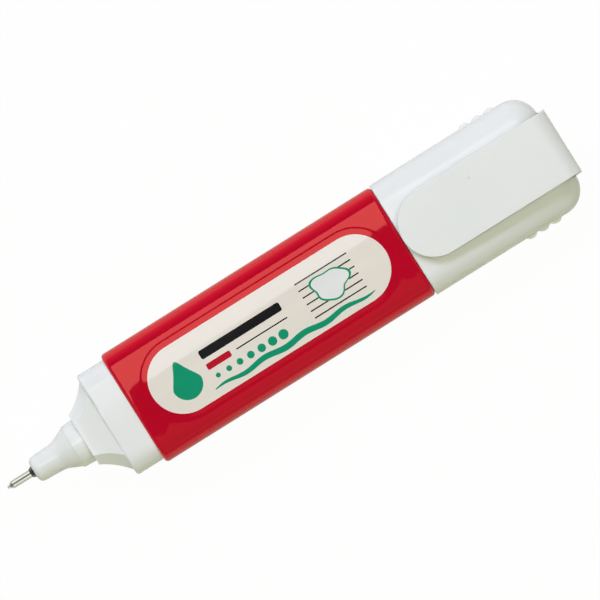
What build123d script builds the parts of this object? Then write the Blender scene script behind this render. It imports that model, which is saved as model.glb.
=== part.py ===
from build123d import *
import math
import os

# Correction pen: a flat squeeze bottle with a needle valve tip, and a clip cap posted on its rear end.
# Millimetres. The pen lies on its back: +X runs from the tip to the closed end of the cap, +Z comes out
# of the label face, and the origin is on the resting plane, below the middle of the pen.

# Bottle: a body that the fingers squeeze, a cap seat at each end of it, and a shoulder down to the neck
body_length = 56.7
body_width = 22.15
body_depth = 14.7
body_corner = 3.05
body_crown = 0.3
body_end_round = 0.45
bottle_wall = 1.0
seat_step = 0.625
seat_corner = 3.9
seat_crown = 0.25
front_seat_length = 5.85
front_seat_round = 0.5
rear_seat_length = 6.2
rear_seat_round = 0.5
shoulder_length = 4.85
shoulder_ledge_width = 1.15
shoulder_ledge_depth = 0.35
shoulder_bevel = 3.1
shoulder_waist_share = 0.39
neck_bevel = 1.9
neck_half_width = 5.2
neck_flat = 0.06
neck_bore_radius = 3.6
neck_bore_length = 2.2

# Shrink sleeve and label, with the shallow panel that the label lies in
film = 0.25
film_lip_gap = 0.15
label_length = 49.4
label_width = 12.85
label_shift = 0.26
label_thickness = 0.1
panel_margin = 1.2
panel_depth = 0.12

# Nozzle
collar_radius = 4.34
collar_draft = 0.14
collar_length = 2.45
collar_round = 0.12
cone_length = 2.9
cone_step = 0.15
cone_blend = 5.0
tube_length = 5.36
tube_root_radius = 2.68
tube_mouth_radius = 2.42
tube_mouth_round = 1.1
tube_wall = 0.67
plug_length = 6.0

# Metal tip and the valve behind it
tip_radius = 0.75
tip_length = 5.0
tip_chamfer = 0.3
tip_taper = 0.6
shank_radius = 1.15
shank_length = 4.0
shank_proud = 0.7
shank_bore_step = 0.3
valve_seat_lip = 0.2
valve_seat_depth = 0.5
valve_seat_gap = 0.05
valve_seat_clearance = 0.1
pin_radius = 0.275
pin_reach = 0.5
pin_hold = 2.0
pin_chamfer = 0.08
pin_clearance = 0.07
holder_length = 3.0
holder_clearance = 0.25
holder_groove = 0.5
holder_stub_length = 1.6
spring_wire = 0.25
spring_wire_sides = 8
spring_turns = 6
spring_clearance = 0.5
spring_end_gap = 0.03
stub_clearance = 0.25
retainer_length = 2.0
retainer_step = 0.45
retainer_bore_radius = 0.7
retainer_slot_width = 0.8
retainer_slot_depth = 0.9

# Mixing ball
ball_radius = 2.5
ball_gap = 0.05

# Cap with its inner seal
cap_clearance = 0.15
cap_wall = 0.95
cap_end_wall = 1.2
cap_corner = 4.5
cap_crown = 0.3
cap_end_ease = 0.3
cap_mouth_gap = 0.1
cap_mouth_chamfer = 0.3
rib_count = 3
rib_pitch = 2.6
rib_width = 2.1
rib_height = 0.55
rib_setback = 7.15
seal_clearance = 0.08
seal_wall = 1.15
seal_mouth_gap = 0.3
seal_mouth_chamfer = 0.4
seal_tip_room = 1.0
seal_plug_length = 3.59
socket_wall = 0.9
socket_height = 2.8

# Clip
clip_width = 12.9
clip_thickness = 1.2
clip_overhang = 0.12
clip_free_gap = 0.9
clip_root_gap = 2.8
clip_bend = 3.0
clip_edge_round = 0.15
foot_thickness = 1.2
foot_ear = 0.2
foot_drop = 6.5
foot_gap = 0.05

# One clearance for what is pressed together, and one overrun for cuts
press_clearance = 0.02
overrun = 1.0

# Sections that follow from the sizes above
seat_width = body_width - 2 * seat_step
seat_depth = body_depth - 2 * seat_step
cap_bore_width = seat_width + 2 * cap_clearance
cap_bore_depth = seat_depth + 2 * cap_clearance
cap_bore_corner = seat_corner + cap_clearance
cap_width = cap_bore_width + 2 * cap_wall
cap_depth = cap_bore_depth + 2 * cap_wall
chamber_radius = tube_mouth_radius - tube_wall
spring_radius = chamber_radius - spring_clearance - spring_wire / 2
seal_bore_radius = tube_root_radius + seal_clearance
seal_radius = seal_bore_radius + seal_wall
axis_z = cap_depth / 2
cap_top = cap_depth

# Places along the pen, from the pin's end to the foot of the clip
tube_reach = tube_length + tip_length + pin_reach
nose_length = tube_reach + cone_length + collar_length + shoulder_length + front_seat_length - film
cap_length = nose_length + seal_tip_room + seal_plug_length + cap_end_wall
rear_length = film + cap_mouth_gap + cap_length + foot_gap + foot_thickness
pen_length = nose_length + film + body_length + rear_length
x_pin = -pen_length / 2
x_tip = x_pin + pin_reach
x_mouth = x_tip + tip_length
x_cone = x_mouth + tube_length
x_collar = x_cone + cone_length
x_neck = x_collar + collar_length
x_seat = x_neck + shoulder_length
x_body = x_seat + front_seat_length
x_body_end = x_body + body_length
x_seat_end = x_body_end + rear_seat_length
x_cap = x_body_end + film + cap_mouth_gap
x_cap_end = x_cap + cap_length
x_foot = x_cap_end + foot_gap
x_chamber = x_mouth + shank_length
x_holder = x_chamber + valve_seat_gap
x_spring = x_holder + holder_length
x_plug_end = x_neck + plug_length
x_retainer = x_plug_end - retainer_length
x_seal = x_cap + nose_length - tube_reach + seal_mouth_gap
x_cap_floor = x_cap_end - cap_end_wall

pen_axis = Axis((0, 0, axis_z), (1, 0, 0))


def station(x):
    """Plane square to the pen's axis: its own x runs along +Y, its own y along +Z."""
    return Plane(origin=(x, 0, axis_z), x_dir=(0, 1, 0), z_dir=(1, 0, 0))


def prism(x, length, outline):
    """Outline set square to the axis at x and drawn out towards the cap."""
    return extrude(station(x) * outline, length)


def rod(x, length, radius):
    """Round bar on the pen's axis."""
    return prism(x, length, Circle(radius))


def turned(points):
    """Solid of revolution about the pen's axis from (place along the axis, radius) points."""
    half = Plane(origin=(0, 0, axis_z), x_dir=(1, 0, 0), z_dir=(0, -1, 0))
    return revolve(half * make_face(Polyline(*points, close=True)), pen_axis)


def ring(solid, x, radius):
    """The round edge of a turned solid at this place along the axis."""
    return solid.edges().filter_by(GeomType.CIRCLE).sort_by_distance((x, 0, axis_z + radius))[0]


def domed(width, depth, crown):
    """Rectangle whose two wide sides are slightly domed."""
    edge = depth / 2 - crown
    front = ThreePointArc((-width / 2, edge), (0, depth / 2), (width / 2, edge))
    back = ThreePointArc((width / 2, -edge), (0, -depth / 2), (-width / 2, -edge))
    right = Line((width / 2, edge), (width / 2, -edge))
    left = Line((-width / 2, -edge), (-width / 2, edge))
    return make_face([front, right, back, left])


def crowned(width, depth, corner, crown):
    """Domed rectangle with rounded corners."""
    return fillet(domed(width, depth, crown).vertices(), corner)


def seat_outline(grow):
    """Section of both cap seats, grown all round by a clearance."""
    return crowned(seat_width + 2 * grow, seat_depth + 2 * grow, seat_corner + grow, seat_crown)


def body_block(grow):
    """The bottle's body with rounded ends, grown all round by a film's thickness."""
    outline = crowned(body_width + 2 * grow, body_depth + 2 * grow, body_corner + grow, body_crown)
    block = prism(x_body - grow, body_length + 2 * grow, outline)
    faces = block.faces().sort_by(Axis.X)
    return fillet(faces[0].edges() + faces[-1].edges(), body_end_round + grow)


def label_column(margin):
    """Column over the front half of the body with the label's outline and a margin round it."""
    outline = SlotOverall(label_length + 2 * margin, label_width + 2 * margin)
    return extrude(Pos(x_body + body_length / 2 + label_shift, 0, axis_z) * outline, body_depth)


def panel_cut(grow):
    """Room over the label panel, sunk to an even depth below a face that is grown by the film or not."""
    return label_column(panel_margin) - body_block(grow - panel_depth)


def near_circle(radius):
    """Round outline with four sides of a hair's width, which lofts cleanly into a rounded rectangle."""
    return RectangleRounded(2 * radius, 2 * radius, radius - neck_flat / 2)


def beveled(half_width, half_depth, bevel):
    """Rectangle with its four corners cut off."""
    return chamfer(Rectangle(2 * half_width, 2 * half_depth).vertices(), bevel)


def shoulder():
    """Hollow, beveled flank from the neck up to the front seat, which stands proud of it as a ledge."""
    half_width = seat_width / 2 - shoulder_ledge_width
    half_depth = seat_depth / 2 - shoulder_ledge_depth
    waist_width = neck_half_width + (half_width - neck_half_width) * shoulder_waist_share
    waist_depth = neck_half_width + (half_depth - neck_half_width) * shoulder_waist_share
    waist = beveled(waist_width, waist_depth, (neck_bevel + shoulder_bevel) / 2)
    sections = [
        station(x_neck) * beveled(neck_half_width, neck_half_width, neck_bevel),
        station(x_neck + shoulder_length / 2) * waist,
        station(x_seat) * beveled(half_width, half_depth, shoulder_bevel),
    ]
    return loft(sections)


def bottle_cavity():
    """Room for the fluid: the body's, both seats' and the shoulder's, and the neck's bore."""
    seat_room = RectangleRounded(seat_width - 2 * bottle_wall, seat_depth - 2 * bottle_wall,
                                 seat_corner - bottle_wall)
    body_room = crowned(body_width - 2 * bottle_wall, body_depth - 2 * bottle_wall,
                        body_corner - bottle_wall, body_crown)
    x_room = x_seat + bottle_wall
    x_bore = x_neck + neck_bore_length
    funnel = loft([station(x_bore) * near_circle(neck_bore_radius), station(x_room) * seat_room], ruled=True)
    room = prism(x_room, x_seat_end - bottle_wall - x_room, seat_room)
    room += prism(x_body + bottle_wall, body_length - 2 * bottle_wall, body_room)
    room += funnel
    return room + rod(x_neck - overrun, neck_bore_length + overrun, neck_bore_radius)


def bottle():
    front_seat = prism(x_seat, front_seat_length + overrun, seat_outline(0))
    front_seat = fillet(front_seat.faces().sort_by(Axis.X)[0].edges(), front_seat_round)
    rear_seat = prism(x_body_end - overrun, rear_seat_length + overrun, seat_outline(0))
    rear_seat = fillet(rear_seat.faces().sort_by(Axis.X)[-1].edges(), rear_seat_round)
    solid = body_block(0) + front_seat + rear_seat + shoulder()
    return solid - panel_cut(0) - bottle_cavity()


def shrink_sleeve():
    ends = prism(x_body - film - overrun, body_length + 2 * film + 2 * overrun, seat_outline(film_lip_gap))
    core = body_block(0) - panel_cut(0)
    return body_block(film) - panel_cut(film) - core - ends


def front_label():
    """Sheet that lies on the panel's floor and keeps its crown."""
    floor = film - panel_depth
    return label_column(0) & (body_block(floor + label_thickness) - body_block(floor))


def nozzle():
    plug_radius = neck_bore_radius - press_clearance
    outside = turned([
        (x_mouth, 0),
        (x_mouth, tube_mouth_radius),
        (x_cone, tube_root_radius),
        (x_collar, collar_radius - collar_draft - cone_step),
        (x_collar, collar_radius - collar_draft),
        (x_neck, collar_radius),
        (x_neck, plug_radius),
        (x_plug_end, plug_radius),
        (x_plug_end, 0),
    ])
    outside = fillet(ring(outside, x_mouth, tube_mouth_radius), tube_mouth_round)
    outside = fillet(ring(outside, x_cone, tube_root_radius), cone_blend)
    outside = fillet(ring(outside, x_collar, collar_radius - collar_draft), collar_round)
    shank_bore = rod(x_mouth - overrun, shank_length + overrun, shank_radius + press_clearance)
    chamber = rod(x_chamber, x_retainer - x_chamber, chamber_radius)
    rear = rod(x_retainer, retainer_length + overrun, chamber_radius + retainer_step)
    return outside - shank_bore - chamber - rear


def metal_tip():
    x_shank = x_mouth - shank_proud
    bore = pin_radius + pin_clearance
    seat = shank_radius - valve_seat_lip
    return turned([
        (x_tip, bore),
        (x_tip, tip_radius - tip_chamfer),
        (x_tip + tip_taper, tip_radius),
        (x_shank, tip_radius),
        (x_shank, shank_radius - shank_proud / 2),
        (x_mouth, shank_radius),
        (x_chamber, shank_radius),
        (x_chamber, seat),
        (x_chamber - valve_seat_depth, bore + shank_bore_step),
        (x_mouth, bore + shank_bore_step),
        (x_mouth, bore),
    ])


def valve_needle():
    x_end = x_holder + pin_hold
    return turned([
        (x_pin, 0),
        (x_pin, pin_radius - pin_chamfer),
        (x_pin + pin_chamfer, pin_radius),
        (x_end, pin_radius),
        (x_end, 0),
    ])


def needle_holder():
    radius = chamber_radius - holder_clearance
    nose = shank_radius - valve_seat_lip - valve_seat_clearance
    hole = pin_radius + press_clearance
    stub = spring_radius - spring_wire / 2 - stub_clearance
    x_hole_end = x_holder + pin_hold + press_clearance
    solid = turned([
        (x_holder - valve_seat_depth, hole),
        (x_holder - valve_seat_depth, pin_radius + shank_bore_step / 2),
        (x_holder, nose),
        (x_holder, radius),
        (x_spring, radius),
        (x_spring, stub),
        (x_spring + holder_stub_length, stub),
        (x_spring + holder_stub_length, 0),
        (x_hole_end, 0),
        (x_hole_end, hole),
    ])
    groove = prism(x_holder - overrun, holder_length + 2 * overrun,
                   Pos(0, radius) * Rectangle(holder_groove, holder_groove))
    quarter = 90
    for turn in range(4):
        solid -= groove.rotate(pen_axis, quarter * turn)
    return solid


def biarc(start, start_way, end, end_way):
    """Two tangent arcs from start to end that keep the ways of travel at both."""
    span = end - start
    ways = start_way + end_way
    square = ways.dot(ways) - 4
    slope = -2 * span.dot(ways)
    reach = (-slope - math.sqrt(slope * slope - 4 * square * span.dot(span))) / (2 * square)
    first = start + start_way * reach
    second = end - end_way * reach
    middle = (first + second) * (1 / 2)
    return [TangentArc(start, middle, tangent=start_way), TangentArc(middle, end, tangent=second - first)]


def least_gap(path, turns, wire):
    """Smallest clear distance between turns, measured on points of the wire's centre line."""
    per_turn = 24
    count = turns * per_turn
    points = [path.position_at(step / count) for step in range(count + 1)]
    pairs = [(one, other) for one in range(count + 1) for other in range(one + per_turn // 2, count + 1)]
    return min((points[one] - points[other]).length for one, other in pairs) - wire


def valve_spring():
    room = x_retainer - x_spring - spring_wire - 2 * spring_end_gap
    rise = room / (2 * spring_turns)
    x_start = x_spring + spring_end_gap + spring_wire / 2

    def place(half_turns):
        angle = math.pi * half_turns
        y = spring_radius * math.cos(angle)
        z = axis_z + spring_radius * math.sin(angle)
        point = Vector(x_start + rise * half_turns, y, z)
        swing = spring_radius * math.pi
        way = Vector(rise, -swing * math.sin(angle), swing * math.cos(angle))
        return point, way.normalized()

    arcs = []
    for half in range(2 * spring_turns):
        arcs += biarc(*place(half), *place(half + 1))
    path = Wire(arcs)
    print("valve_spring least gap", round(least_gap(path, spring_turns, spring_wire), 3))
    start, way = place(0)
    return sweep(Plane(origin=start, z_dir=way) * RegularPolygon(spring_wire / 2, spring_wire_sides), path)


def spring_retainer():
    radius = chamber_radius + retainer_step - press_clearance
    solid = rod(x_retainer, retainer_length, radius) - rod(
        x_retainer - overrun, retainer_length + 2 * overrun, retainer_bore_radius)
    slot = prism(x_plug_end - retainer_slot_depth, retainer_slot_depth + overrun,
                 Rectangle(2 * radius + overrun, retainer_slot_width))
    quarter = 90
    return solid - slot - slot.rotate(pen_axis, quarter)


def mixing_ball():
    floor = axis_z - body_depth / 2 + bottle_wall
    return Pos(x_body + body_length / 2, 0, floor + ball_gap + ball_radius) * Sphere(ball_radius)


def capped_block(x, length, width, depth, corner, crown):
    """Bar with a domed front, a flat back and rounded edges, cut square at its near end."""
    plan = Pos(x + length / 2, 0) * Rectangle(length, width)
    plan = fillet(plan.vertices().group_by(Axis.X)[-1], corner + cap_end_ease)
    bar = extrude(Pos(0, 0, axis_z - depth / 2) * plan, depth)
    bar &= prism(x, length, Pos(0, -crown) * domed(width, depth + 2 * crown, crown))
    faces = bar.faces().sort_by(Axis.Z)
    edges = [edge for face in (faces[0], faces[-1]) for edge in face.edges().sort_by(Axis.X)[1:]]
    return fillet(edges, corner)


def grip_ribs():
    """Rounded ridges across both narrow sides of the cap."""
    root = cap_wall / 2
    arc = ThreePointArc((-rib_width / 2, 0), (0, rib_height), (rib_width / 2, 0))
    base = Polyline((rib_width / 2, 0), (rib_width / 2, -root), (-rib_width / 2, -root), (-rib_width / 2, 0))
    outline = make_face([arc, *base.edges()])
    length = cap_depth - 2 * cap_corner
    ribs = Part()
    for index in range(rib_count):
        x = x_cap_end - rib_setback - index * rib_pitch
        ribs += extrude(Pos(x, cap_width / 2, axis_z - length / 2) * outline, length)
    return ribs + mirror(ribs, Plane.XZ)


def cap_shell():
    outside = capped_block(x_cap, cap_length, cap_width, cap_depth, cap_corner, cap_crown)
    bore_length = x_cap_floor - x_cap
    bore = capped_block(x_cap, bore_length, cap_bore_width, cap_bore_depth, cap_bore_corner, seat_crown)
    mouth = loft([
        station(x_cap) * seat_outline(cap_clearance + cap_mouth_chamfer),
        station(x_cap + cap_mouth_chamfer) * seat_outline(cap_clearance),
    ], ruled=True)
    socket = rod(x_cap_floor - socket_height, socket_height + cap_end_wall / 2,
                 seal_radius + press_clearance + socket_wall)
    seal_hole = rod(x_cap_floor - socket_height, socket_height, seal_radius + press_clearance)
    return outside + grip_ribs() - bore - mouth + socket - seal_hole


def inner_cap():
    x_bottom = x_seal - seal_mouth_gap + tube_reach + seal_tip_room
    return turned([
        (x_seal, seal_bore_radius + seal_mouth_chamfer),
        (x_seal, seal_radius),
        (x_cap_floor, seal_radius),
        (x_cap_floor, 0),
        (x_bottom, 0),
        (x_bottom, seal_bore_radius),
        (x_seal + seal_mouth_chamfer, seal_bore_radius),
    ])


def clip_plan():
    """The clip's outline seen from the front: straight sides and a full-round free end."""
    x_free = x_cap - clip_overhang
    x_centre = x_free + clip_width / 2
    length = x_foot + foot_thickness - x_centre
    return Pos(x_centre + length / 2, 0) * Rectangle(length, clip_width) + Pos(x_centre, 0) * Circle(
        clip_width / 2)


def clip_foot():
    """Foot plate on the cap's end wall, a little wider than the clip, with a full-round lower edge."""
    length = clip_width + 2 * foot_ear
    height = foot_drop + clip_root_gap / 2 - foot_thickness / 2
    x = x_foot + foot_thickness / 2
    z = cap_top - foot_drop + foot_thickness / 2
    plate = Pos(x, 0, z + height / 2) * Box(foot_thickness, length, height)
    edge = extrude(Plane(origin=(x, length / 2, z), z_dir=(0, -1, 0)) * Circle(foot_thickness / 2), length)
    return plate + edge


def cap_clip():
    x_free = x_cap - clip_overhang
    x_out = x_foot + foot_thickness
    z_free = cap_top + clip_free_gap
    z_root = cap_top + clip_root_gap
    z_foot = cap_top - foot_drop + foot_thickness / 2
    side = Plane(origin=(0, clip_width / 2, 0), x_dir=(1, 0, 0), z_dir=(0, -1, 0))
    profile = make_face(Polyline(
        (x_free, z_free),
        (x_foot, z_root),
        (x_foot, z_foot),
        (x_out, z_foot),
        (x_out, z_root + clip_thickness),
        (x_free, z_free + clip_thickness),
        close=True,
    ))
    profile = fillet(profile.vertices().sort_by_distance((x_out, z_root + clip_thickness))[0], clip_bend)
    profile = fillet(profile.vertices().sort_by_distance((x_foot, z_root))[0], clip_bend - clip_thickness)
    plate = extrude(side * profile, clip_width)
    plate &= extrude(clip_plan(), z_root + clip_thickness + overrun)
    top = plate.faces().filter_by(GeomType.PLANE).sort_by(Axis.Z)[-1]
    rim = top.edges().sort_by(Axis.X)[:-1]
    return fillet(rim, clip_edge_round) + clip_foot()


def main():
    pieces = {
        "bottle": bottle(),
        "shrink_sleeve": shrink_sleeve(),
        "front_label": front_label(),
        "nozzle": nozzle(),
        "metal_tip": metal_tip(),
        "valve_needle": valve_needle(),
        "needle_holder": needle_holder(),
        "valve_spring": valve_spring(),
        "spring_retainer": spring_retainer(),
        "mixing_ball": mixing_ball(),
        "cap_shell": cap_shell(),
        "inner_cap": inner_cap(),
        "cap_clip": cap_clip(),
    }
    os.makedirs("parts", exist_ok=True)
    for name, solid in pieces.items():
        export_step(solid, f"parts/{name}.step")


main()
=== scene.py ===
"""Looks of the correction pen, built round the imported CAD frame."""
import math

import bmesh
import bpy
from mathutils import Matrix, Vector
from mathutils.bvhtree import BVHTree


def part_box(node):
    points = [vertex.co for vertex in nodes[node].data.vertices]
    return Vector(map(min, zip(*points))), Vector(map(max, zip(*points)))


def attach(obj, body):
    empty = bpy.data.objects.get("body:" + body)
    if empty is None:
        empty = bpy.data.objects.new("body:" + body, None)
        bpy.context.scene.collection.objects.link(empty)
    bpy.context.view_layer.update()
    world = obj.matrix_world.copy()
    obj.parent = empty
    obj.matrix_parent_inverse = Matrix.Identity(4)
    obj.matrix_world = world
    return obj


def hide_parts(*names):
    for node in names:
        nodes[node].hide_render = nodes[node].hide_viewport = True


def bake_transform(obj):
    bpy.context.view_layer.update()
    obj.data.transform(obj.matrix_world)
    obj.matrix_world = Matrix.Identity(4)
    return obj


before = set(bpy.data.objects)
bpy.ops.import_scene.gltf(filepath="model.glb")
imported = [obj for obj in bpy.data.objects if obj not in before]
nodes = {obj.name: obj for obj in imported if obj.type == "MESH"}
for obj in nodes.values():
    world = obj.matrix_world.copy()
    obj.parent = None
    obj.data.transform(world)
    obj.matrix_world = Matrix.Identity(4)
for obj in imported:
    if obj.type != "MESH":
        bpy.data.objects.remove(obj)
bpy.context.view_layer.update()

scene = bpy.context.scene

# Lengths are in millimetres and become metres where a mesh, lamp or camera is made
MM = 0.001


def box_mm(node):
    """Lowest and highest corner of a CAD node, in millimetres."""
    low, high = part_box(node)
    return low / MM, high / MM


# Sleeve: outside sizes come from the node, the rest are the section's own
sleeve_low, sleeve_high = box_mm("shrink_sleeve")
sleeve_half_width = (sleeve_high.y - sleeve_low.y) / 2
sleeve_half_depth = (sleeve_high.z - sleeve_low.z) / 2
axis_z = (sleeve_high.z + sleeve_low.z) / 2
sleeve_corner = 3.3
sleeve_crown = 0.3
sleeve_end_round = 0.7
film_sheet = 0.2
crown_radius = (sleeve_half_width ** 2 + sleeve_crown ** 2) / (2 * sleeve_crown)
fillet_y = sleeve_half_width - sleeve_corner
crown_centre = sleeve_half_depth - crown_radius
fillet_z = crown_centre + math.sqrt((crown_radius - sleeve_corner) ** 2 - fillet_y ** 2)
crown_turn = math.asin(fillet_y / (crown_radius - sleeve_corner))

# Label and the shallow panel round it, whose loops lie at margins outside the label's edge
label_low, label_high = box_mm("front_label")
label_centre = (label_low.x + label_high.x) / 2
label_radius = (label_high.y - label_low.y) / 2
label_straight = (label_high.x - label_low.x) / 2 - label_radius
label_sheet = 0.1
label_depth = 0.030
panel_step = 0.0115
panel_step_start = 1.0
panel_step_end = 1.40
panel_step_loops = 11
panel_ease = 0.015
panel_ease_start = 0.5
panel_ease_end = 3.8
panel_rim_margins = [0.55, 0.3, 0.0]
panel_bed = 0.13
panel_bed_margin = 0.06
panel_bed_margins = [-panel_bed_margin, -1.5, -3.5, -label_radius]
patch_half_length = 27.0

# Metal tip: length of the painted shade on it in front of the nozzle, where it meets the nozzle, and how softly that
# begins
tip_painted_shade = 0.7
tip_painted_shade_blur = 0.08

# Valve spring
spring_wire = 0.25
spring_turns = 6

# Gate mark: distance from the clip's free end, place across it, and (radius, height) from the middle out
gate_place = 15.9
gate_across = 3.4
gate_profile = [(0.0, 0.09), (0.10, 0.085), (0.19, 0.065), (0.27, 0.035), (0.34, 0.0), (0.36, -0.05)]

# Print on the label: sheets of ink, each layer lifted above the one below, cut into slices that bend with the crown
ink_sheet = 0.02
ink_lift = 0.005
ink_slice = 0.5
ink_cut_weld = 0.0001

# Meshes: points nearer than the weld are one, and edges sharper than these turns stay sharp
weld = 0.0005
piece_sharp_turn = 40
spring_sharp_turn = 50


def smooth_step(start, end, value):
    """0 before start, 1 after end, and an even rise between them."""
    share = min(max((value - start) / (end - start), 0.0), 1.0)
    return share * share * (3 - 2 * share)


def label_distance(x, y):
    """Distance outside the label's outline, below zero inside it."""
    along = min(max(x - label_centre, -label_straight), label_straight)
    return math.hypot(x - label_centre - along, y) - label_radius


def panel_sink(x, y):
    """How far the film's front lies below its crown at a point of the plan."""
    distance = label_distance(x, y)
    if distance < -panel_bed_margin / 2:
        return panel_bed
    step = 1 - smooth_step(panel_step_start, panel_step_end, distance)
    ease = 1 - smooth_step(panel_ease_start, panel_ease_end, distance)
    return panel_step * step + panel_ease * ease


def crown_z(y):
    """Height of the sleeve's crowned front above the floor."""
    return axis_z + crown_centre + math.sqrt(crown_radius ** 2 - y ** 2)


def spread(start, end, count):
    """Evenly spaced values with both ends among them."""
    return [start + (end - start) * index / (count - 1) for index in range(count)]


# Node helpers for the materials and the world
def add_node(tree, kind, **settings):
    made = tree.nodes.new(kind)
    for key, value in settings.items():
        setattr(made, key, value)
    return made


def blank_material(name):
    material = bpy.data.materials.new(name)
    material.use_nodes = True
    tree = material.node_tree
    return material, tree, tree.nodes["Principled BSDF"]


def parts_of(tree, coordinate):
    """X, Y and Z of a texture coordinate."""
    place = add_node(tree, "ShaderNodeTexCoord")
    split = add_node(tree, "ShaderNodeSeparateXYZ")
    tree.links.new(place.outputs[coordinate], split.inputs[0])
    return split.outputs


def graded(tree, value, start, end, low=0.0, high=1.0):
    """From low at start to high at end, held level outside them."""
    grade = add_node(tree, "ShaderNodeMapRange")
    for socket, number in (("From Min", start), ("From Max", end), ("To Min", low), ("To Max", high)):
        grade.inputs[socket].default_value = number
    tree.links.new(value, grade.inputs["Value"])
    return grade.outputs["Result"]


def ramp(tree, value, stops):
    """Colours by place from 0 to 1, from (place, colour) stops."""
    made = add_node(tree, "ShaderNodeValToRGB")
    elements = made.color_ramp.elements
    for element, (place, colour) in ((elements[0], stops[0]), (elements[1], stops[-1])):
        element.position = place
        element.color = (*colour, 1)
    for place, colour in stops[1:-1]:
        elements.new(place).color = (*colour, 1)
    tree.links.new(value, made.inputs["Fac"])
    return made.outputs["Color"]


def noise(tree, scale, detail=2.0, stretch=(1, 1, 1)):
    """Noise in the object's own metres."""
    place = add_node(tree, "ShaderNodeTexCoord")
    mapping = add_node(tree, "ShaderNodeMapping")
    mapping.inputs["Scale"].default_value = stretch
    texture = add_node(tree, "ShaderNodeTexNoise")
    texture.inputs["Scale"].default_value = scale
    texture.inputs["Detail"].default_value = detail
    tree.links.new(place.outputs["Object"], mapping.inputs["Vector"])
    tree.links.new(mapping.outputs["Vector"], texture.inputs["Vector"])
    return texture.outputs["Fac"]


# The middle range of a noise, in which nearly all its values lie
noise_low = 0.3
noise_high = 0.7


def uneven_gloss(tree, shader, value, low, high):
    """Roughness that drifts from low to high with a noise."""
    tree.links.new(graded(tree, value, noise_low, noise_high, low, high), shader.inputs["Roughness"])


def two_tone(tree, shader, value, one, other):
    """Base colour that drifts between two close tones with a noise."""
    tree.links.new(ramp(tree, value, [(noise_low, one), (noise_high, other)]), shader.inputs["Base Color"])


def shift_tone(tree, shader, share, tone):
    """Moves the base colour towards another tone by a share."""
    mix = add_node(tree, "ShaderNodeMixRGB")
    mix.inputs["Color2"].default_value = (*tone, 1)
    tree.links.new(share, mix.inputs["Fac"])
    tree.links.new(shader.inputs["Base Color"].links[0].from_socket, mix.inputs["Color1"])
    tree.links.new(mix.outputs["Color"], shader.inputs["Base Color"])


def bump(tree, shader, height, depth):
    """Relief of that depth in millimetres."""
    relief = add_node(tree, "ShaderNodeBump")
    relief.inputs["Strength"].default_value = 1.0
    relief.inputs["Distance"].default_value = depth * MM
    tree.links.new(height, relief.inputs["Height"])
    tree.links.new(relief.outputs["Normal"], shader.inputs["Normal"])


def moulded(name, one, other, rough, rough_drift, grain, glow=0.0):
    """Moulded plastic: two close tones, uneven gloss, a fine grain and some light inside."""
    tone_scale = 70.0
    gloss_scale = 900.0
    grain_scale = 2600.0
    glow_radius = 0.6
    material, tree, shader = blank_material(name)
    two_tone(tree, shader, noise(tree, tone_scale), one, other)
    uneven_gloss(tree, shader, noise(tree, gloss_scale), rough - rough_drift, rough + rough_drift)
    bump(tree, shader, noise(tree, grain_scale), grain)
    shader.inputs["IOR"].default_value = 1.5
    if glow:
        shader.inputs["Subsurface Weight"].default_value = glow
        shader.inputs["Subsurface Radius"].default_value = (1.0, 0.9, 0.8)
        shader.inputs["Subsurface Scale"].default_value = glow_radius * MM
    return material


def film_finish(name, one, other, tint=(1.0, 1.0, 1.0), level=0.6, index=1.55, corner_painted_light=None):
    """Glossy printed film with a faint pull along the pen, and a lighter tone painted where it turns round corners,
    standing in for the light there.
    """
    tone_scale = 140.0
    gloss_scale = 420.0
    pull_scale = 160.0
    pull_depth = 0.0012
    rough_low = 0.022
    rough_high = 0.040
    flat_lean = 0.96
    corner_lean = 0.80
    material, tree, shader = blank_material(name)
    two_tone(tree, shader, noise(tree, tone_scale, stretch=(0.3, 1, 1)), one, other)
    # Painted light: the colour moves to a lighter tone where the surface leans away from flat, round the corners
    if corner_painted_light:
        lean = add_node(tree, "ShaderNodeMath", operation="ABSOLUTE")
        tree.links.new(parts_of(tree, "Normal")["Z"], lean.inputs[0])
        shift_tone(tree, shader, graded(tree, lean.outputs[0], flat_lean, corner_lean), corner_painted_light)
    uneven_gloss(tree, shader, noise(tree, gloss_scale, stretch=(0.35, 1, 1)), rough_low, rough_high)
    bump(tree, shader, noise(tree, pull_scale, detail=1.0, stretch=(0.4, 1, 1)), pull_depth)
    shader.inputs["IOR"].default_value = index
    shader.inputs["Specular IOR Level"].default_value = level
    shader.inputs["Specular Tint"].default_value = (*tint, 1)
    return material


def turned_steel(name, one, other, rough, ring_scale, ring_depth, painted_shade_from=None):
    """Bright steel with fine rings from turning, with painted shade past a place along the pen if one is given."""
    tone_scale = 500.0
    gloss_scale = 1500.0
    rough_spread = 0.3
    mirror = 0.8
    painted_shade_tone = (0.15, 0.15, 0.145)
    material, tree, shader = blank_material(name)
    two_tone(tree, shader, noise(tree, tone_scale, stretch=(2, 1, 1)), one, other)
    uneven_gloss(tree, shader, noise(tree, gloss_scale, stretch=(4, 1, 1)),
                 rough * (1 - rough_spread), rough * (1 + rough_spread))
    shader.inputs["Metallic"].default_value = mirror
    # Painted shade: the base colour goes dark past that place, where the tip meets the nozzle
    if painted_shade_from is not None:
        share = graded(tree, parts_of(tree, "Object")["X"],
                       (painted_shade_from - tip_painted_shade_blur) * MM, (painted_shade_from + tip_painted_shade_blur) * MM)
        shift_tone(tree, shader, share, painted_shade_tone)
    bump(tree, shader, noise(tree, ring_scale, detail=1.0, stretch=(1, 0.02, 0.02)), ring_depth)
    return material


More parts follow.
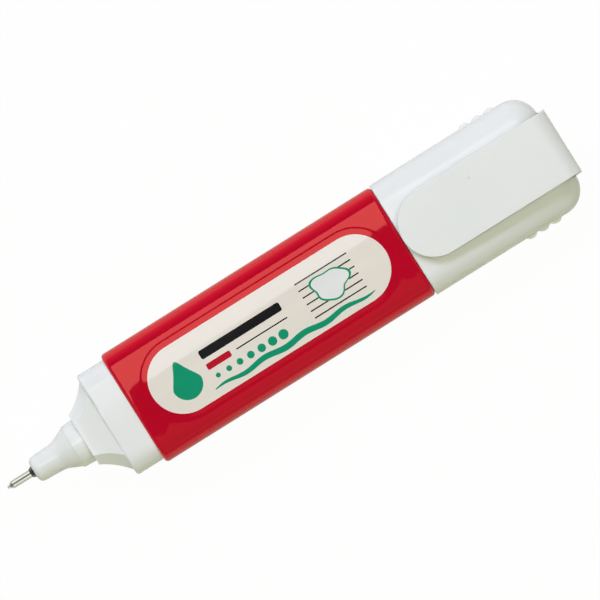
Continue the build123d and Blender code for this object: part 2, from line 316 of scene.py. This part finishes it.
white_plastic = moulded("white_plastic", (0.795, 0.812, 0.800), (0.815, 0.830, 0.815),
                        rough=0.09, rough_drift=0.02, grain=0.001, glow=0.12)
cap_white = moulded("cap_white", (0.795, 0.812, 0.795), (0.815, 0.830, 0.813),
                    rough=0.10, rough_drift=0.02, grain=0.001, glow=0.12)
nozzle_white = moulded("nozzle_white", (0.780, 0.800, 0.780), (0.805, 0.822, 0.800),
                       rough=0.14, rough_drift=0.03, grain=0.001, glow=0.12)
seal_white = moulded("seal_white", (0.70, 0.71, 0.69), (0.73, 0.74, 0.71),
                     rough=0.32, rough_drift=0.04, grain=0.003, glow=0.2)
valve_grey = moulded("valve_grey", (0.52, 0.54, 0.55), (0.57, 0.59, 0.60),
                     rough=0.36, rough_drift=0.05, grain=0.003)
# The red film carries painted light: a lighter red where it turns round its corners
red_film = film_finish("red_film", (0.520, 0.0030, 0.0200), (0.550, 0.0038, 0.0230),
                       tint=(1.0, 0.245, 0.165), level=1.0, index=1.65, corner_painted_light=(0.650, 0.0045, 0.0270))
cream_film = film_finish("cream_film", (0.800, 0.745, 0.667), (0.830, 0.773, 0.692))
green_ink = film_finish("green_ink", (0.008, 0.290, 0.150), (0.010, 0.315, 0.165))
black_ink = film_finish("black_ink", (0.012, 0.012, 0.013), (0.017, 0.017, 0.018))
red_ink = film_finish("red_ink", (0.470, 0.008, 0.022), (0.500, 0.011, 0.026))
white_ink = film_finish("white_ink", (0.800, 0.805, 0.790), (0.820, 0.825, 0.810))
# The steel tip carries painted shade over its root in front of the nozzle
tip_steel = turned_steel("tip_steel", (0.60, 0.60, 0.57), (0.68, 0.68, 0.65), rough=0.10,
                         ring_scale=5000.0, ring_depth=0.0002, painted_shade_from=box_mm("nozzle")[0].x - tip_painted_shade)
needle_steel = turned_steel("needle_steel", (0.58, 0.58, 0.57), (0.68, 0.68, 0.67), rough=0.10,
                            ring_scale=6000.0, ring_depth=0.0002)
spring_steel = turned_steel("spring_steel", (0.46, 0.46, 0.45), (0.56, 0.56, 0.55), rough=0.26,
                            ring_scale=3000.0, ring_depth=0.0015)
ball_steel = turned_steel("ball_steel", (0.55, 0.55, 0.54), (0.66, 0.66, 0.65), rough=0.10,
                          ring_scale=900.0, ring_depth=0.0006)

node_finishes = {
    "bottle": white_plastic,
    "nozzle": nozzle_white,
    "metal_tip": tip_steel,
    "valve_needle": needle_steel,
    "needle_holder": valve_grey,
    "valve_spring": spring_steel,
    "spring_retainer": valve_grey,
    "mixing_ball": ball_steel,
    "cap_shell": cap_white,
    "inner_cap": seal_white,
    "cap_clip": cap_white,
    "shrink_sleeve": red_film,
    "front_label": cream_film,
}
for node_name, finish in node_finishes.items():
    nodes[node_name].data.materials.clear()
    nodes[node_name].data.materials.append(finish)


# Mesh helpers for the pieces made here
def new_object(name, bm, material):
    """Object from a mesh in millimetres."""
    mesh = bpy.data.meshes.new(name)
    bm.to_mesh(mesh)
    bm.free()
    for vertex in mesh.vertices:
        vertex.co *= MM
    mesh.materials.append(material)
    made = bpy.data.objects.new(name, mesh)
    scene.collection.objects.link(made)
    return made


def add_piece(name, bm, body, material):
    """New piece from a mesh in millimetres, riding on a body."""
    piece = new_object(name, bm, material)
    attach(piece, body)
    return piece


def smooth(piece, sharp_turn):
    """Smooth shading, apart from edges that turn by more than that many degrees."""
    piece.data.shade_smooth()
    piece.data.set_sharp_from_angle(angle=math.radians(sharp_turn))


def band(first, second):
    """Four-sided faces between two closed loops of point numbers."""
    faces = []
    for step in range(len(first)):
        after = (step + 1) % len(first)
        faces.append((first[step], first[after], second[after], second[step]))
    return faces


def ring_bands(rows, around):
    """Faces of a tube whose points are numbered ring by ring."""
    rings = [range(row * around, (row + 1) * around) for row in range(rows)]
    return [face for row in range(rows - 1) for face in band(rings[row], rings[row + 1])]


def mesh_from(points, faces):
    """Mesh of points and faces, with points that coincide joined."""
    bm = bmesh.new()
    verts = [bm.verts.new(point) for point in points]
    for face in faces:
        bm.faces.new([verts[index] for index in face])
    bmesh.ops.remove_doubles(bm, verts=bm.verts[:], dist=weld)
    bmesh.ops.dissolve_degenerate(bm, edges=bm.edges[:], dist=weld)
    bmesh.ops.recalc_face_normals(bm, faces=bm.faces[:])
    return bm


def thicken(bm, thickness):
    """Gives a sheet its thickness, inwards."""
    bmesh.ops.solidify(bm, geom=bm.faces[:], thickness=thickness)
    bmesh.ops.recalc_face_normals(bm, faces=bm.faces[:])


def sleeve_ring(inset, columns):
    """Section of the sleeve, moved inwards by an inset: (y, z, normal y, normal z) all the way round."""
    arc_steps = 9
    side_steps = 6
    crown = crown_radius - inset
    corner = sleeve_corner - inset
    quarter = []
    for turn in spread(crown_turn, math.pi / 2, arc_steps)[1:]:
        quarter.append((fillet_y + corner * math.sin(turn), fillet_z + corner * math.cos(turn),
                        math.sin(turn), math.cos(turn)))
    front = []
    for column in columns:
        turn = column * crown_turn
        front.append((crown * math.sin(turn), crown_centre + crown * math.cos(turn),
                      math.sin(turn), math.cos(turn)))
    side = [(fillet_y + corner, z, 1.0, 0.0) for z in spread(fillet_z, -fillet_z, side_steps)[1:-1]]
    right = quarter + side + [(y, -z, ny, -nz) for y, z, ny, nz in reversed(quarter)]
    back = [(-y, -z, -ny, -nz) for y, z, ny, nz in front]
    left = [(-y, -z, -ny, -nz) for y, z, ny, nz in right]
    return front + right + back + left


def make_sleeve():
    """Red film with rounded ends, turned in at both, and the label's shallow panel pressed into its front."""
    column_count = 27
    patch_row_count = 61
    plain_row_count = 4
    end_steps = 7
    columns = spread(-1.0, 1.0, column_count)
    patch_rows = spread(label_centre - patch_half_length, label_centre + patch_half_length, patch_row_count)
    end_turns = spread(0.0, math.pi / 2, end_steps)
    ends = [(sleeve_end_round * (1 - math.cos(turn)), sleeve_end_round * (1 - math.sin(turn)))
            for turn in end_turns]

    # Rows along the pen, as (x, inset)
    rows = [(sleeve_low.x + along, inset) for along, inset in ends]
    rows += [(x, 0.0) for x in spread(sleeve_low.x + sleeve_end_round, patch_rows[0], plain_row_count)[1:-1]]
    first_patch_row = len(rows)
    rows += [(x, 0.0) for x in patch_rows]
    last_patch_row = len(rows) - 1
    rows += [(x, 0.0) for x in spread(patch_rows[-1], sleeve_high.x - sleeve_end_round, plain_row_count)[1:-1]]
    rows += [(sleeve_high.x - along, inset) for along, inset in reversed(ends)]

    points = []
    faces = []
    for x, inset in rows:
        for y, z, ny, nz in sleeve_ring(inset, columns):
            sink = panel_sink(x, y) if z > 0 and inset == 0 else 0.0
            points.append((x, y - ny * sink, axis_z + z - nz * sink))
    around = len(points) // len(rows)
    for row in range(len(rows) - 1):
        for column in range(around):
            if first_patch_row <= row < last_patch_row and column < len(columns) - 1:
                continue
            beside = (column + 1) % around
            faces.append((row * around + column, row * around + beside,
                          (row + 1) * around + beside, (row + 1) * around + column))

    # The panel's own loops follow the label's outline, from the patch's border in to its middle line
    border = [first_patch_row * around + column for column in range(len(columns) - 1)]
    border += [row * around + len(columns) - 1 for row in range(first_patch_row, last_patch_row)]
    border += [last_patch_row * around + column for column in range(len(columns) - 1, 0, -1)]
    border += [row * around for row in range(last_patch_row, first_patch_row, -1)]
    loop = border
    for margin in spread(panel_step_end, panel_step_start, panel_step_loops) + panel_rim_margins + panel_bed_margins:
        inner = []
        for index in border:
            x, y, z = points[index]
            along = min(max(x - label_centre, -label_straight), label_straight)
            reach = math.hypot(x - label_centre - along, y)
            share = (label_radius + margin) / reach
            loop_x = label_centre + along + (x - label_centre - along) * share
            loop_y = y * share
            inner.append(len(points))
            points.append((loop_x, loop_y, crown_z(loop_y) - panel_sink(loop_x, loop_y)))
        faces += band(loop, inner)
        loop = inner
    bm = mesh_from(points, faces)
    thicken(bm, film_sheet)
    piece = add_piece("sleeve_film_piece", bm, "pen", red_film)
    smooth(piece, piece_sharp_turn)
    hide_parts("shrink_sleeve")


def crown_normals(piece):
    """Front faces take the crown's exact normal, so that their gloss runs on from piece to piece."""
    front_lean = 0.9
    mesh = piece.data
    normals = []
    for polygon in mesh.polygons:
        for index in polygon.loop_indices:
            if polygon.normal.z > front_lean:
                lean = mesh.vertices[mesh.loops[index].vertex_index].co.y / MM / crown_radius
                normals.append((0.0, lean, math.sqrt(1 - lean * lean)))
            else:
                normals.append(tuple(polygon.normal))
    mesh.shade_smooth()
    mesh.normals_split_custom_set(normals)


def make_label():
    """Cream sheet in the panel, with full-round ends."""
    turn_steps = 24
    side_steps = 25
    loop_shares = [1.0, 0.97, 0.85, 0.65, 0.45, 0.25, 0.0]
    right = []
    for turn in spread(-math.pi / 2, math.pi / 2, turn_steps):
        right.append((label_straight + label_radius * math.cos(turn), label_radius * math.sin(turn)))
    right += [(x, label_radius) for x in spread(label_straight, -label_straight, side_steps)[1:-1]]
    outline = right + [(-x, -y) for x, y in right]
    points = []
    faces = []
    loop = []
    for share in loop_shares:
        inner = []
        for x, y in outline:
            along = min(max(x, -label_straight), label_straight)
            loop_y = y * share
            inner.append(len(points))
            points.append((label_centre + along + (x - along) * share, loop_y, crown_z(loop_y) - label_depth))
        faces += band(loop, inner)
        loop = inner
    bm = mesh_from(points, faces)
    thicken(bm, label_sheet)
    piece = add_piece("label_sheet", bm, "pen", cream_film)
    crown_normals(piece)
    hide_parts("front_label")


# Outlines of the print, in the label's own millimetres
def disc(x, y, radius, points=40):
    turns = [2 * math.pi * step / points for step in range(points)]
    return [(x + radius * math.cos(turn), y + radius * math.sin(turn)) for turn in turns]


def bar(x_start, x_end, y_start, y_end, corner, points=8):
    """Rounded rectangle."""
    outline = []
    for x, y, first in ((x_end - corner, y_end - corner, 0), (x_start + corner, y_end - corner, 1),
                        (x_start + corner, y_start + corner, 2), (x_end - corner, y_start + corner, 3)):
        for turn in spread(first * math.pi / 2, (first + 1) * math.pi / 2, points):
            outline.append((x + corner * math.cos(turn), y + corner * math.sin(turn)))
    return outline


def drop(x, y, radius, height, points=48):
    """Fluid drop with its point towards +Y."""
    pull_in = 0.55
    point_power = 1.25
    outline = []
    for step in range(points):
        turn = 2 * math.pi * step / points
        up = math.sin(turn)
        narrow = 1 - pull_in * smooth_step(-0.1, 1.0, up)
        outline.append((x + radius * math.cos(turn) * narrow,
                        y + radius * min(up, 0) + height * max(up, 0) ** point_power))
    return outline


def blot(x, y, radius, points=64):
    """Loose splash outline with a few soft lobes."""
    stretch = 1.35
    broad_lobe = 0.13
    small_lobe = 0.07
    outline = []
    for step in range(points):
        turn = 2 * math.pi * step / points
        reach = radius * (1 + broad_lobe * math.sin(3 * turn + 0.7) + small_lobe * math.sin(5 * turn + 2.1))
        outline.append((x + stretch * reach * math.cos(turn), y + reach * math.sin(turn)))
    return outline


def wave(x_start, x_end, y, swing, period, thick, points=90):
    """Ribbon that swings about a line along X, with pointed ends."""
    upper = []
    lower = []
    for x in spread(x_start, x_end, points):
        share = (x - x_start) / (x_end - x_start)
        half = thick / 2 * math.sin(math.pi * share) ** 0.5
        middle = y + swing * math.sin(2 * math.pi * (x - x_start) / period)
        upper.append((x, middle + half))
        lower.append((x, middle - half))
    return lower[:-1] + upper[:0:-1]


def make_print(name, outlines, material, layer):
    """Thin sheet of ink on the label, cut to outlines and bent to the crown."""
    bm = bmesh.new()
    for outline in outlines:
        bm.faces.new([bm.verts.new((label_centre + x, y, 0)) for x, y in outline])
    bmesh.ops.triangulate(bm, faces=bm.faces[:])
    cut = -label_radius
    while cut < label_radius:
        bmesh.ops.bisect_plane(bm, geom=bm.verts[:] + bm.edges[:] + bm.faces[:], dist=ink_cut_weld,
                               plane_co=(0, cut, 0), plane_no=(0, 1, 0))
        cut += ink_slice
    for vertex in bm.verts:
        vertex.co.z = crown_z(vertex.co.y) - label_depth + ink_lift * layer
    bmesh.ops.recalc_face_normals(bm, faces=bm.faces[:])
    if sum(face.normal.z for face in bm.faces) < 0:
        bmesh.ops.reverse_faces(bm, faces=bm.faces[:])
    thicken(bm, ink_sheet)
    piece = add_piece(name, bm, "pen", material)
    crown_normals(piece)


def make_prints():
    """A drop, dots, a wave, bars, and a blot over ruled lines."""
    dot_count = 7
    dot_start = -12.6
    dot_pitch = 2.3
    dot_row = -2.9
    dot_radius = 0.45
    dot_growth = 0.08
    dots = [disc(dot_start + dot_pitch * step, dot_row, dot_radius + dot_growth * step) for step in range(dot_count)]
    bars_left = -13.6
    bars_right = 3.4
    rule = 0.25
    rule_corner = 0.12
    rule_rows = (-3.6, -2.2, -0.8, 0.6, 2.0, 3.4)
    rules = [bar(7.5, 18.5, y, y + rule, rule_corner) for y in rule_rows]
    short_rule = bar(-7.4, bars_right, -0.8, -0.8 + rule, rule_corner)
    blot_x = 13.2
    blot_y = 0.3
    blot_radius = 2.45
    blot_rim = 0.3
    make_print("print_green", [drop(-18.2, -1.3, radius=2.9, height=4.6)] + dots
               + [wave(-14.5, 19.5, -4.9, swing=0.25, period=8.5, thick=1.15)], green_ink, 1)
    make_print("print_black", [bar(bars_left, bars_right, 0.9, 2.6, corner=0.4)], black_ink, 1)
    make_print("print_red", [bar(bars_left, -8.6, -1.3, -0.1, corner=0.3)], red_ink, 1)
    make_print("print_rules", [short_rule] + rules, black_ink, 1)
    make_print("print_blot_rim", [blot(blot_x, blot_y, blot_radius + blot_rim)], green_ink, 2)
    make_print("print_blot", [blot(blot_x, blot_y, blot_radius)], white_ink, 3)


def make_gate_mark():
    """Small moulding mark on the clip: a low round button."""
    steps = 24
    above = 100.0
    clip = nodes["cap_clip"]
    corners = [clip.matrix_world @ vertex.co / MM for vertex in clip.data.vertices]
    surface = BVHTree.FromPolygons(corners, [tuple(polygon.vertices) for polygon in clip.data.polygons])
    start = Vector((box_mm("cap_clip")[0].x + gate_place, gate_across, above))
    seat, lean, _, _ = surface.ray_cast(start, Vector((0, 0, -1)))
    turn = Vector((0, 0, 1)).rotation_difference(lean)
    points = []
    for radius, height in gate_profile:
        for x, y in disc(0.0, 0.0, radius, steps):
            points.append(tuple(seat + turn @ Vector((x, y, height))))
    faces = ring_bands(len(gate_profile), steps)
    faces.append(tuple(range((len(gate_profile) - 1) * steps, len(gate_profile) * steps)))
    piece = add_piece("clip_gate_mark", mesh_from(points, faces), "clip", cap_white)
    smooth(piece, piece_sharp_turn)


def make_spring():
    """Valve spring with round wire between its two ends."""
    turn_steps = 32
    around = 10
    low, high = box_mm("valve_spring")
    coil_radius = (high.y - low.y) / 2 - spring_wire / 2
    x_start = low.x + spring_wire / 2
    length = high.x - low.x - spring_wire
    rows = spring_turns * turn_steps + 1
    points = []
    for row in range(rows):
        angle = 2 * math.pi * row / turn_steps
        outward = Vector((0, math.cos(angle), math.sin(angle)))
        centre = Vector((x_start + length * row / (rows - 1), 0, axis_z)) + outward * coil_radius
        for step in range(around):
            turn = 2 * math.pi * step / around
            aside = outward * math.cos(turn) + Vector((math.sin(turn), 0, 0))
            points.append(tuple(centre + aside * spring_wire / 2))
    faces = [tuple(range(around)), tuple(range((rows - 1) * around, rows * around))]
    faces += ring_bands(rows, around)
    piece = new_object("valve_coil", mesh_from(points, faces), spring_steel)
    smooth(piece, spring_sharp_turn)
    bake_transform(piece)
    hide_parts("valve_spring")


make_sleeve()
make_label()
make_prints()
make_gate_mark()
make_spring()


# Stage, lamps and camera
def seen_share(tree, in_picture, in_gloss):
    """Share of the backdrop's own white for rays that show it, in the picture or in gloss, else 0."""
    path = add_node(tree, "ShaderNodeLightPath")
    total = None
    for ray, share in (("Is Camera Ray", in_picture), ("Is Glossy Ray", in_gloss), ("Is Transmission Ray", in_gloss)):
        adder = add_node(tree, "ShaderNodeMath", operation="MULTIPLY_ADD", use_clamp=True)
        tree.links.new(path.outputs[ray], adder.inputs[0])
        adder.inputs[1].default_value = share
        adder.inputs[2].default_value = 0.0
        if total:
            tree.links.new(total, adder.inputs[2])
        total = adder.outputs[0]
    return total


def mix_seen(tree, out, share, light, shown):
    """Joins the shader that lights the object with the one that is shown, by the share of the second."""
    mix = add_node(tree, "ShaderNodeMixShader")
    tree.links.new(share, mix.inputs["Fac"])
    tree.links.new(light.outputs[0], mix.inputs[1])
    tree.links.new(shown.outputs[0], mix.inputs[2])
    tree.links.new(mix.outputs[0], out.inputs["Surface"])


def make_floor():
    """Pale paper, white where the picture or gloss shows it, with a trace of the object's shadow."""
    half = 4000.0
    material = bpy.data.materials.new("pale_floor")
    material.use_nodes = True
    tree = material.node_tree
    tree.nodes.clear()
    paper = add_node(tree, "ShaderNodeBsdfDiffuse")
    paper.inputs["Color"].default_value = (0.79, 0.80, 0.68, 1)
    white = add_node(tree, "ShaderNodeEmission")
    white.inputs["Color"].default_value = (1, 1, 1, 1)
    white.inputs["Strength"].default_value = 1.0
    out = add_node(tree, "ShaderNodeOutputMaterial")
    mix_seen(tree, out, seen_share(tree, in_picture=0.97, in_gloss=0.25), paper, white)
    bm = bmesh.new()
    bm.faces.new([bm.verts.new((x * half, y * half, 0)) for x, y in ((-1, -1), (1, -1), (1, 1), (-1, 1))])
    floor = new_object("floor", bm, material)


def grey(level):
    return (level, level, level)


def make_world():
    """Soft light from the +Y side; gloss sees a white horizon under a dark ceiling."""
    world = bpy.data.worlds.new("studio")
    scene.world = world
    world.use_nodes = True
    tree = world.node_tree
    tree.nodes.clear()
    toward = parts_of(tree, "Generated")

    # Light on the object: its colour goes by Y, and it fades towards both ends of the pen
    soft = add_node(tree, "ShaderNodeBackground")
    sideways = graded(tree, toward["Y"], -1.0, 1.0)
    soft_stops = [(0.0, (0.32, 0.33, 0.13)), (0.5, (0.14, 0.15, 0.11)), (1.0, (1.05, 1.04, 1.02))]
    tree.links.new(ramp(tree, sideways, soft_stops), soft.inputs["Color"])
    lengthways = graded(tree, toward["X"], -1.0, 1.0)
    fade_stops = [(0.1, grey(0.25)), (0.5, grey(1.0)), (0.9, grey(0.05))]
    tree.links.new(ramp(tree, lengthways, fade_stops), soft.inputs["Strength"])

    # What is shown: white in the picture, and in gloss a ceiling that darkens with height
    shown = add_node(tree, "ShaderNodeBackground")
    ceiling_stops = [(0.02, grey(1.0)), (0.15, grey(0.35)), (0.50, grey(0.10)), (0.80, grey(0.0))]
    path = add_node(tree, "ShaderNodeLightPath")
    backdrop = add_node(tree, "ShaderNodeMixRGB")
    backdrop.inputs["Color2"].default_value = (1, 1, 1, 1)
    tree.links.new(path.outputs["Is Camera Ray"], backdrop.inputs["Fac"])
    tree.links.new(ramp(tree, toward["Z"], ceiling_stops), backdrop.inputs["Color1"])
    tree.links.new(backdrop.outputs["Color"], shown.inputs["Color"])
    out = add_node(tree, "ShaderNodeOutputWorld")
    mix_seen(tree, out, seen_share(tree, in_picture=1.0, in_gloss=1.0), soft, shown)


def area_lamp(name, centre, size_x, size_y, brightness, color, turn=0.0, in_gloss=True, in_diffuse=True):
    """Flat lamp that faces down. Brightness is what its surface shows in a mirror."""
    lamp = bpy.data.lights.new(name, "AREA")
    lamp.shape = "RECTANGLE"
    lamp.size = size_x * MM
    lamp.size_y = size_y * MM
    watts_per_area = math.pi
    lamp.energy = brightness * watts_per_area * lamp.size * lamp.size_y
    lamp.color = color
    holder = bpy.data.objects.new(name, lamp)
    holder.location = Vector(centre) * MM
    holder.rotation_euler = (0, 0, math.radians(turn))
    holder.visible_glossy = in_gloss
    holder.visible_diffuse = in_diffuse
    scene.collection.objects.link(holder)
    return holder


def light_only(lamps, names, link_state):
    """Lamps that light the named nodes alone (INCLUDE), or all but them (EXCLUDE)."""
    lit = bpy.data.collections.new("lit_" + link_state.lower())
    for name in names:
        lit.objects.link(nodes[name])
    for entry in lit.collection_objects:
        entry.light_linking.link_state = link_state
    for lamp in lamps:
        lamp.light_linking.receiver_collection = lit


def make_lamps():
    """Key for the film's gloss, fill from -Y, two soft lamps for the shading, and sheets for the steel tip."""
    lamp_height = 1500.0
    key_turn = 9.4
    key_depth = 580.0
    key_edge = 52.7
    key_middle = key_depth / 2
    key_lean = math.radians(key_turn)
    key_lamp = area_lamp("key_lamp", (-key_middle * math.sin(key_lean), key_edge + key_middle * math.cos(key_lean),
                                      lamp_height),
                         size_x=1200.0, size_y=key_depth, brightness=1.98, color=(0.98, 0.96, 1.10),
                         turn=key_turn, in_diffuse=False)
    fill_edge = -99.0
    fill_depth = 2600.0
    area_lamp("fill_lamp", (0.0, fill_edge - fill_depth / 2, lamp_height),
              size_x=1600.0, size_y=fill_depth, brightness=0.27, color=(1.0, 1.0, 0.8))
    area_lamp("top_lamp", (0.0, 0.0, lamp_height),
              size_x=1600.0, size_y=330.0, brightness=6.45, color=(1.05, 1.05, 0.85), in_gloss=False)
    area_lamp("soft_lamp", (0.0, 970.0, lamp_height),
              size_x=1000.0, size_y=520.0, brightness=8.0, color=(0.90, 0.93, 1.36), in_gloss=False)

    # Two sheets of light for the steel tip alone, from one turn off overhead to another, with a dark gap between
    tip_nodes = ("metal_tip", "valve_needle")
    sheet_height = 600.0
    tip_sheets = []
    for name, first_turn, last_turn, brightness in (("tip_sheet_near", -21.0, -72.0, 0.97),
                                                    ("tip_sheet_far", 26.0, 72.0, 1.40)):
        first, last = (sheet_height * math.tan(math.radians(turn)) for turn in (first_turn, last_turn))
        tip_sheets.append(area_lamp(name, (0.0, (first + last) / 2, sheet_height),
                                    size_x=1600.0, size_y=abs(last - first), brightness=brightness,
                                    color=(1.0, 1.0, 0.92), in_diffuse=False))
    light_only([key_lamp], tip_nodes, "EXCLUDE")
    light_only(tip_sheets, tip_nodes, "INCLUDE")


def make_camera():
    """Looks straight down on the label from far off, turned as the photo is."""
    distance = 2700.0
    aim_x = 3.66
    aim_y = 0.73
    roll = -32.05
    camera = bpy.data.cameras.new("camera")
    camera.lens = 900.0
    camera.sensor_width = 36.0
    camera.clip_start = 0.01
    camera.clip_end = 50.0
    holder = bpy.data.objects.new("camera", camera)
    holder.location = Vector((aim_x, aim_y, axis_z + distance)) * MM
    holder.rotation_euler = (0, 0, math.radians(roll))
    scene.collection.objects.link(holder)
    scene.camera = holder


make_floor()
make_world()
make_lamps()
make_camera()
scene.view_settings.view_transform = "Standard"
